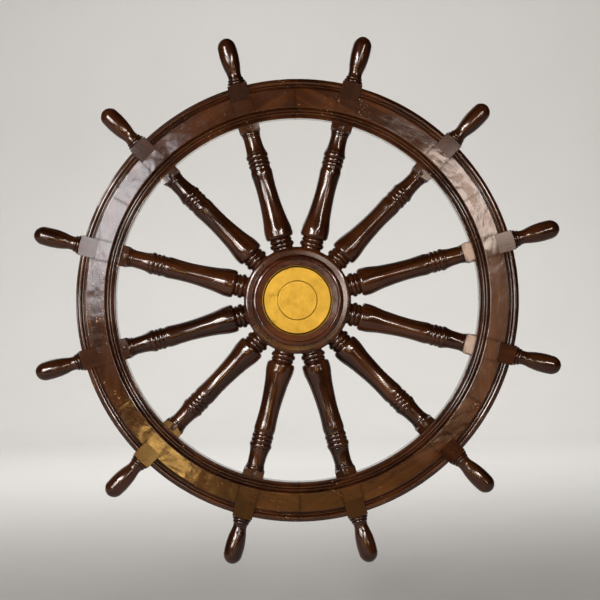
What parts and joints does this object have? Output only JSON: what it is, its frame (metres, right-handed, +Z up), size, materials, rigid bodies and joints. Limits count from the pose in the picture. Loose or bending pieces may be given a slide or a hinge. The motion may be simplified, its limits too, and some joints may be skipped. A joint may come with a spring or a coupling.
{
  "type": "ship steering wheel",
  "caption": "Traditional wooden ship's wheel with turned spokes and handles, moulded segmented rim, brass hub plate and a flanged spindle bearing.",
  "frame": {"origin": "centre of the bearing flange's mounting face, on the wheel's axis", "axes": "+Y along the wheel's axis from the front to the rear, out of the mounting face; +Z up; +X to the helmsman's right. The wheel lies at negative Y, its front facing -Y"},
  "size_m": [1.4736, 0.2876, 1.4736],
  "materials": {
    "turned_mahogany": "thick gloss varnish",
    "rim_mahogany": "thick gloss varnish",
    "hub_mahogany": "thick gloss varnish",
    "satin_brass": "satin, turned",
    "screw_brass": "dull",
    "bronze": "machined",
    "cast_bronze": "cast, rubbed",
    "dark_steel": "oiled",
    "ground_steel": "ground"
  },
  "bodies": {
    "bearing": {"bearing_housing": "cast_bronze", "front_bush": "bronze", "rear_bush": "bronze", "thrust_washer": "bronze", "oil_plug": "screw_brass"},
    "wheel": {"spoke_01": "turned_mahogany", "spoke_02": "turned_mahogany", "spoke_03": "turned_mahogany", "spoke_04": "turned_mahogany", "spoke_05": "turned_mahogany", "spoke_06": "turned_mahogany", "spoke_07": "turned_mahogany", "spoke_08": "turned_mahogany", "spoke_09": "turned_mahogany", "spoke_10": "turned_mahogany", "spoke_11": "turned_mahogany", "spoke_12": "turned_mahogany", "handle_01": "turned_mahogany", "handle_02": "turned_mahogany", "handle_03": "turned_mahogany", "handle_04": "turned_mahogany", "handle_05": "turned_mahogany", "handle_06": "turned_mahogany", "handle_07": "turned_mahogany", "handle_08": "turned_mahogany", "handle_09": "turned_mahogany", "handle_10": "turned_mahogany", "handle_11": "turned_mahogany", "handle_12": "turned_mahogany", "front_felloe_1": "rim_mahogany", "front_felloe_2": "rim_mahogany", "front_felloe_3": "rim_mahogany", "front_felloe_4": "rim_mahogany", "front_felloe_5": "rim_mahogany", "front_felloe_6": "rim_mahogany", "rear_felloe_1": "rim_mahogany", "rear_felloe_2": "rim_mahogany", "rear_felloe_3": "rim_mahogany", "rear_felloe_4": "rim_mahogany", "rear_felloe_5": "rim_mahogany", "rear_felloe_6": "rim_mahogany", "rim_screws": "screw_brass", "hub_front_cover": "hub_mahogany", "hub_rear_cover": "hub_mahogany", "front_nave_plate": "satin_brass", "nave_bezel": "satin_brass", "centre_cap": "satin_brass", "plate_screws": "screw_brass", "clamp_ring": "dark_steel", "rear_nave_plate": "satin_brass", "hub_sleeve": "bronze", "hub_bolts": "screw_brass", "hub_bolt_nuts": "dark_steel", "spindle": "ground_steel", "hub_key": "ground_steel", "wheel_nut": "bronze", "wheel_nut_washer": "bronze", "ring_nut": "dark_steel"}
  },
  "joints": [
    {"name": "wheel_spin", "type": "hinge", "parent": "bearing", "child": "wheel", "pos_m": [0, 0, 0], "axis": [0, 1, 0], "continuous": true}
  ]
}
